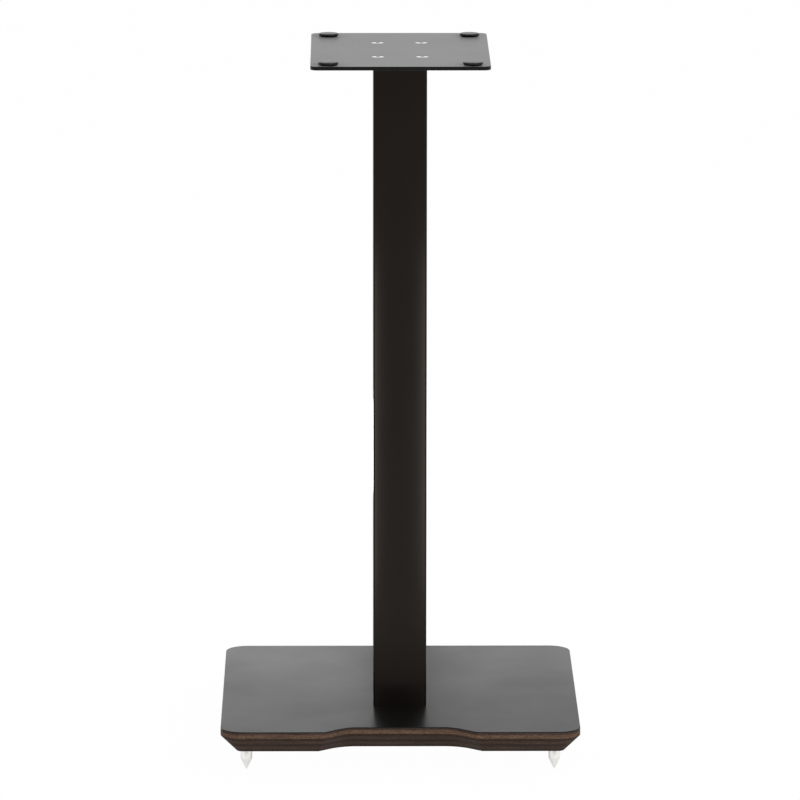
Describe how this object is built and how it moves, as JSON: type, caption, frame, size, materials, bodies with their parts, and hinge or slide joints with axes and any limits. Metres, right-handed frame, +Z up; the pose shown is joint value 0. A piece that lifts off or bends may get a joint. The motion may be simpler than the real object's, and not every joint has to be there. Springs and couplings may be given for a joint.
{
  "type": "speaker stand",
  "caption": "Free-standing speaker stand: a flat plate with corner pads on a slim upright post, over a wide plywood base with an undercut edge, a front recess and spiked feet.",
  "frame": {"origin": "on the floor, under the middle of the base board's outline", "axes": "+Z up, the front with the recess faces -Y, +X to the right seen from the front"},
  "size_m": [0.335, 0.346, 0.6613],
  "materials": {
    "plywood": "dark stained plywood, sealed, with the plies showing at the edge",
    "base_sheet": "black satin laminate",
    "post_coat": "black satin coat on an extrusion",
    "plate_coat": "black satin powder coat",
    "screw_zinc": "zinc plated",
    "pad_rubber": "matt black rubber",
    "insert_brass": "turned brass",
    "spike_chrome": "polished and plated"
  },
  "bodies": {
    "stand": {"base_board": "plywood", "base_top_sheet": "base_sheet", "post": "post_coat", "top_plate": "plate_coat", "top_plate_screws": "screw_zinc", "pad_front_left": "pad_rubber", "pad_front_right": "pad_rubber", "pad_rear_left": "pad_rubber", "pad_rear_right": "pad_rubber", "base_screws": "screw_zinc", "base_screw_washers": "screw_zinc", "insert_front_left": "insert_brass", "insert_front_right": "insert_brass", "insert_rear_left": "insert_brass", "insert_rear_right": "insert_brass"},
    "spike_front_left": {"spike_front_left": "spike_chrome"},
    "spike_front_right": {"spike_front_right": "spike_chrome"},
    "spike_rear_left": {"spike_rear_left": "spike_chrome"},
    "spike_rear_right": {"spike_rear_right": "spike_chrome"}
  },
  "joints": [
    {"name": "front_left_levelling", "type": "slide", "parent": "stand", "child": "spike_front_left", "axis": [0, 0, -1], "range_m": [0, 0.008]},
    {"name": "front_right_levelling", "type": "slide", "parent": "stand", "child": "spike_front_right", "axis": [0, 0, -1], "range_m": [0, 0.008]},
    {"name": "rear_left_levelling", "type": "slide", "parent": "stand", "child": "spike_rear_left", "axis": [0, 0, -1], "range_m": [0, 0.008]},
    {"name": "rear_right_levelling", "type": "slide", "parent": "stand", "child": "spike_rear_right", "axis": [0, 0, -1], "range_m": [0, 0.008]}
  ]
}
